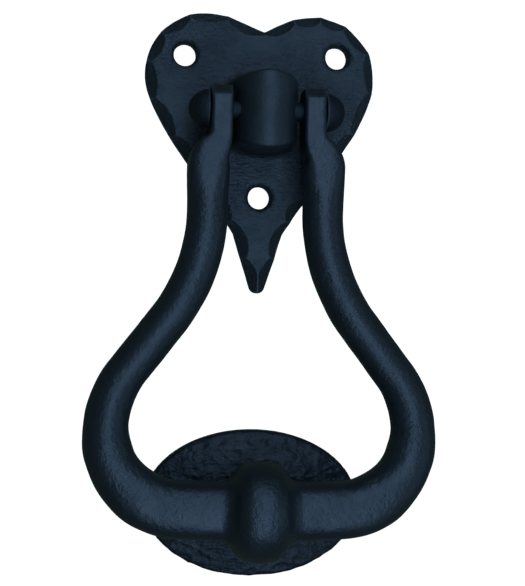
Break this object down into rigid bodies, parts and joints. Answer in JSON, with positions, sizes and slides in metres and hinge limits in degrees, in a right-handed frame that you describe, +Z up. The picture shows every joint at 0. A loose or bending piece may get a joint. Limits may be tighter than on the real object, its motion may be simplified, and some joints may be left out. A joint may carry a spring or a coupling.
{
  "type": "door knocker",
  "caption": "Cast-iron door knocker: a pear-shaped drop handle with a striking knob, hinged on a heart-shaped backplate, over an oval strike plate.",
  "frame": {"origin": "on the door's surface, on the backplate's back face, straight behind the middle of the pivot rivet", "axes": "+X to the right seen from in front of the door, +Y into the door (the front faces -Y), +Z up"},
  "size_m": [0.099, 0.0356, 0.1629],
  "materials": {
    "plate_iron": "satin black paint over sand-cast iron",
    "rivet_steel": "satin black paint",
    "handle_iron": "satin black paint over dressed cast iron",
    "strike_iron": "satin black paint over hammered cast iron"
  },
  "bodies": {
    "door_plates": {"backplate": "plate_iron", "pivot_rivet": "rivet_steel", "strike_plate": "strike_iron"},
    "handle": {"handle": "handle_iron"}
  },
  "joints": [
    {"name": "handle_swing", "type": "hinge", "parent": "door_plates", "child": "handle", "pos_m": [0, -0.0172, 0], "axis": [-1, 0, 0], "range_deg": [0, 175]}
  ]
}
